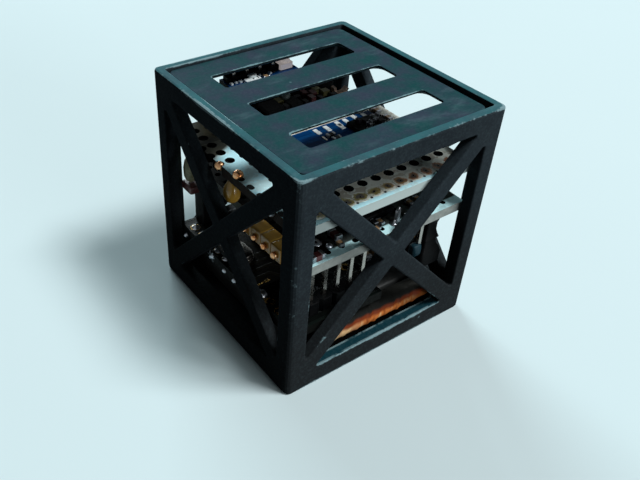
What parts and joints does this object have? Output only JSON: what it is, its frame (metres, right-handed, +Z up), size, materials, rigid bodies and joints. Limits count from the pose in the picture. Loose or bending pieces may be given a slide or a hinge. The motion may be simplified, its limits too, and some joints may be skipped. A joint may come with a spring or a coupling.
{
  "type": "cube satellite",
  "caption": "Palm-sized cube satellite: an open printed frame with crossed bars, a slotted lift-out lid, and stacked circuit boards over a small battery.",
  "frame": {"origin": "centre of the underside of the cube, on the surface that it stands on", "axes": "+Z up towards the slotted lid, -Y towards the front side, +X to the right; the lid's slots run along X"},
  "size_m": [0.038, 0.038, 0.0395],
  "materials": {
    "printed_frame": "matte black printed plastic with scuffed edges",
    "printed_lid": "slate grey sheen on matte printed plastic",
    "pouch": "satin pouch foil, dark olive",
    "amber_tape": "glossy amber film, wrinkled",
    "foam": "dense black foam tape",
    "dark_board": "dark solder mask",
    "thin_board": "thin board with a gilt edge",
    "pale_board": "bare fibreglass perforated board with tinned pads",
    "grey_board": "bare fibreglass board, grey",
    "blue_board": "blue solder mask with pale pads",
    "chip_black": "moulded black epoxy",
    "header_black": "moulded black header strip with tinned pins",
    "header_yellow": "mustard yellow header strip with gilt pin ends",
    "steel_can": "pressed metal can",
    "bead_yellow": "dipped mustard resin",
    "tan_capacitor": "moulded brown case",
    "white_lens": "milky white lens"
  },
  "bodies": {
    "cube": {"floor_plate": "printed_frame", "front_bottom_rail": "printed_frame", "front_top_rail": "printed_frame", "front_long_bar": "printed_frame", "front_upper_half_bar": "printed_frame", "front_lower_half_bar": "printed_frame", "front_lip": "printed_frame", "right_bottom_rail": "printed_frame", "right_top_rail": "printed_frame", "right_long_bar": "printed_frame", "right_upper_half_bar": "printed_frame", "right_lower_half_bar": "printed_frame", "right_lip": "printed_frame", "back_bottom_rail": "printed_frame", "back_top_rail": "printed_frame", "back_long_bar": "printed_frame", "back_upper_half_bar": "printed_frame", "back_lower_half_bar": "printed_frame", "back_lip": "printed_frame", "left_bottom_rail": "printed_frame", "left_top_rail": "printed_frame", "left_long_bar": "printed_frame", "left_upper_half_bar": "printed_frame", "left_lower_half_bar": "printed_frame", "left_lip": "printed_frame", "front_left_post": "printed_frame", "front_right_post": "printed_frame", "back_left_post": "printed_frame", "back_right_post": "printed_frame", "battery": "pouch", "battery_taped_end": "amber_tape", "left_foam_pad": "foam", "right_foam_pad": "foam", "controller_board": "dark_board", "programming_header": "header_black", "controller_chip": "chip_black", "daughter_strip": "header_black", "daughter_board": "thin_board", "crystal_can": "steel_can", "daughter_chip": "chip_black", "power_board": "dark_board", "power_coil": "chip_black", "middle_board": "grey_board", "middle_chip": "chip_black", "front_connector": "header_black", "yellow_header": "header_yellow", "top_board": "pale_board", "rear_stack_header": "header_black", "right_stack_header": "header_black", "bead_capacitor": "bead_yellow", "radio_module": "blue_board", "radio_chip": "chip_black", "black_socket": "header_black", "brown_capacitor": "tan_capacitor", "rear_header": "header_black", "rear_sensor_board": "blue_board", "white_lamp": "white_lens"},
    "lid": {"lid": "printed_lid"}
  },
  "joints": [
    {"name": "lid_lift", "type": "slide", "parent": "cube", "child": "lid", "axis": [0, 0, 1], "range_m": [0, 0.025]}
  ]
}
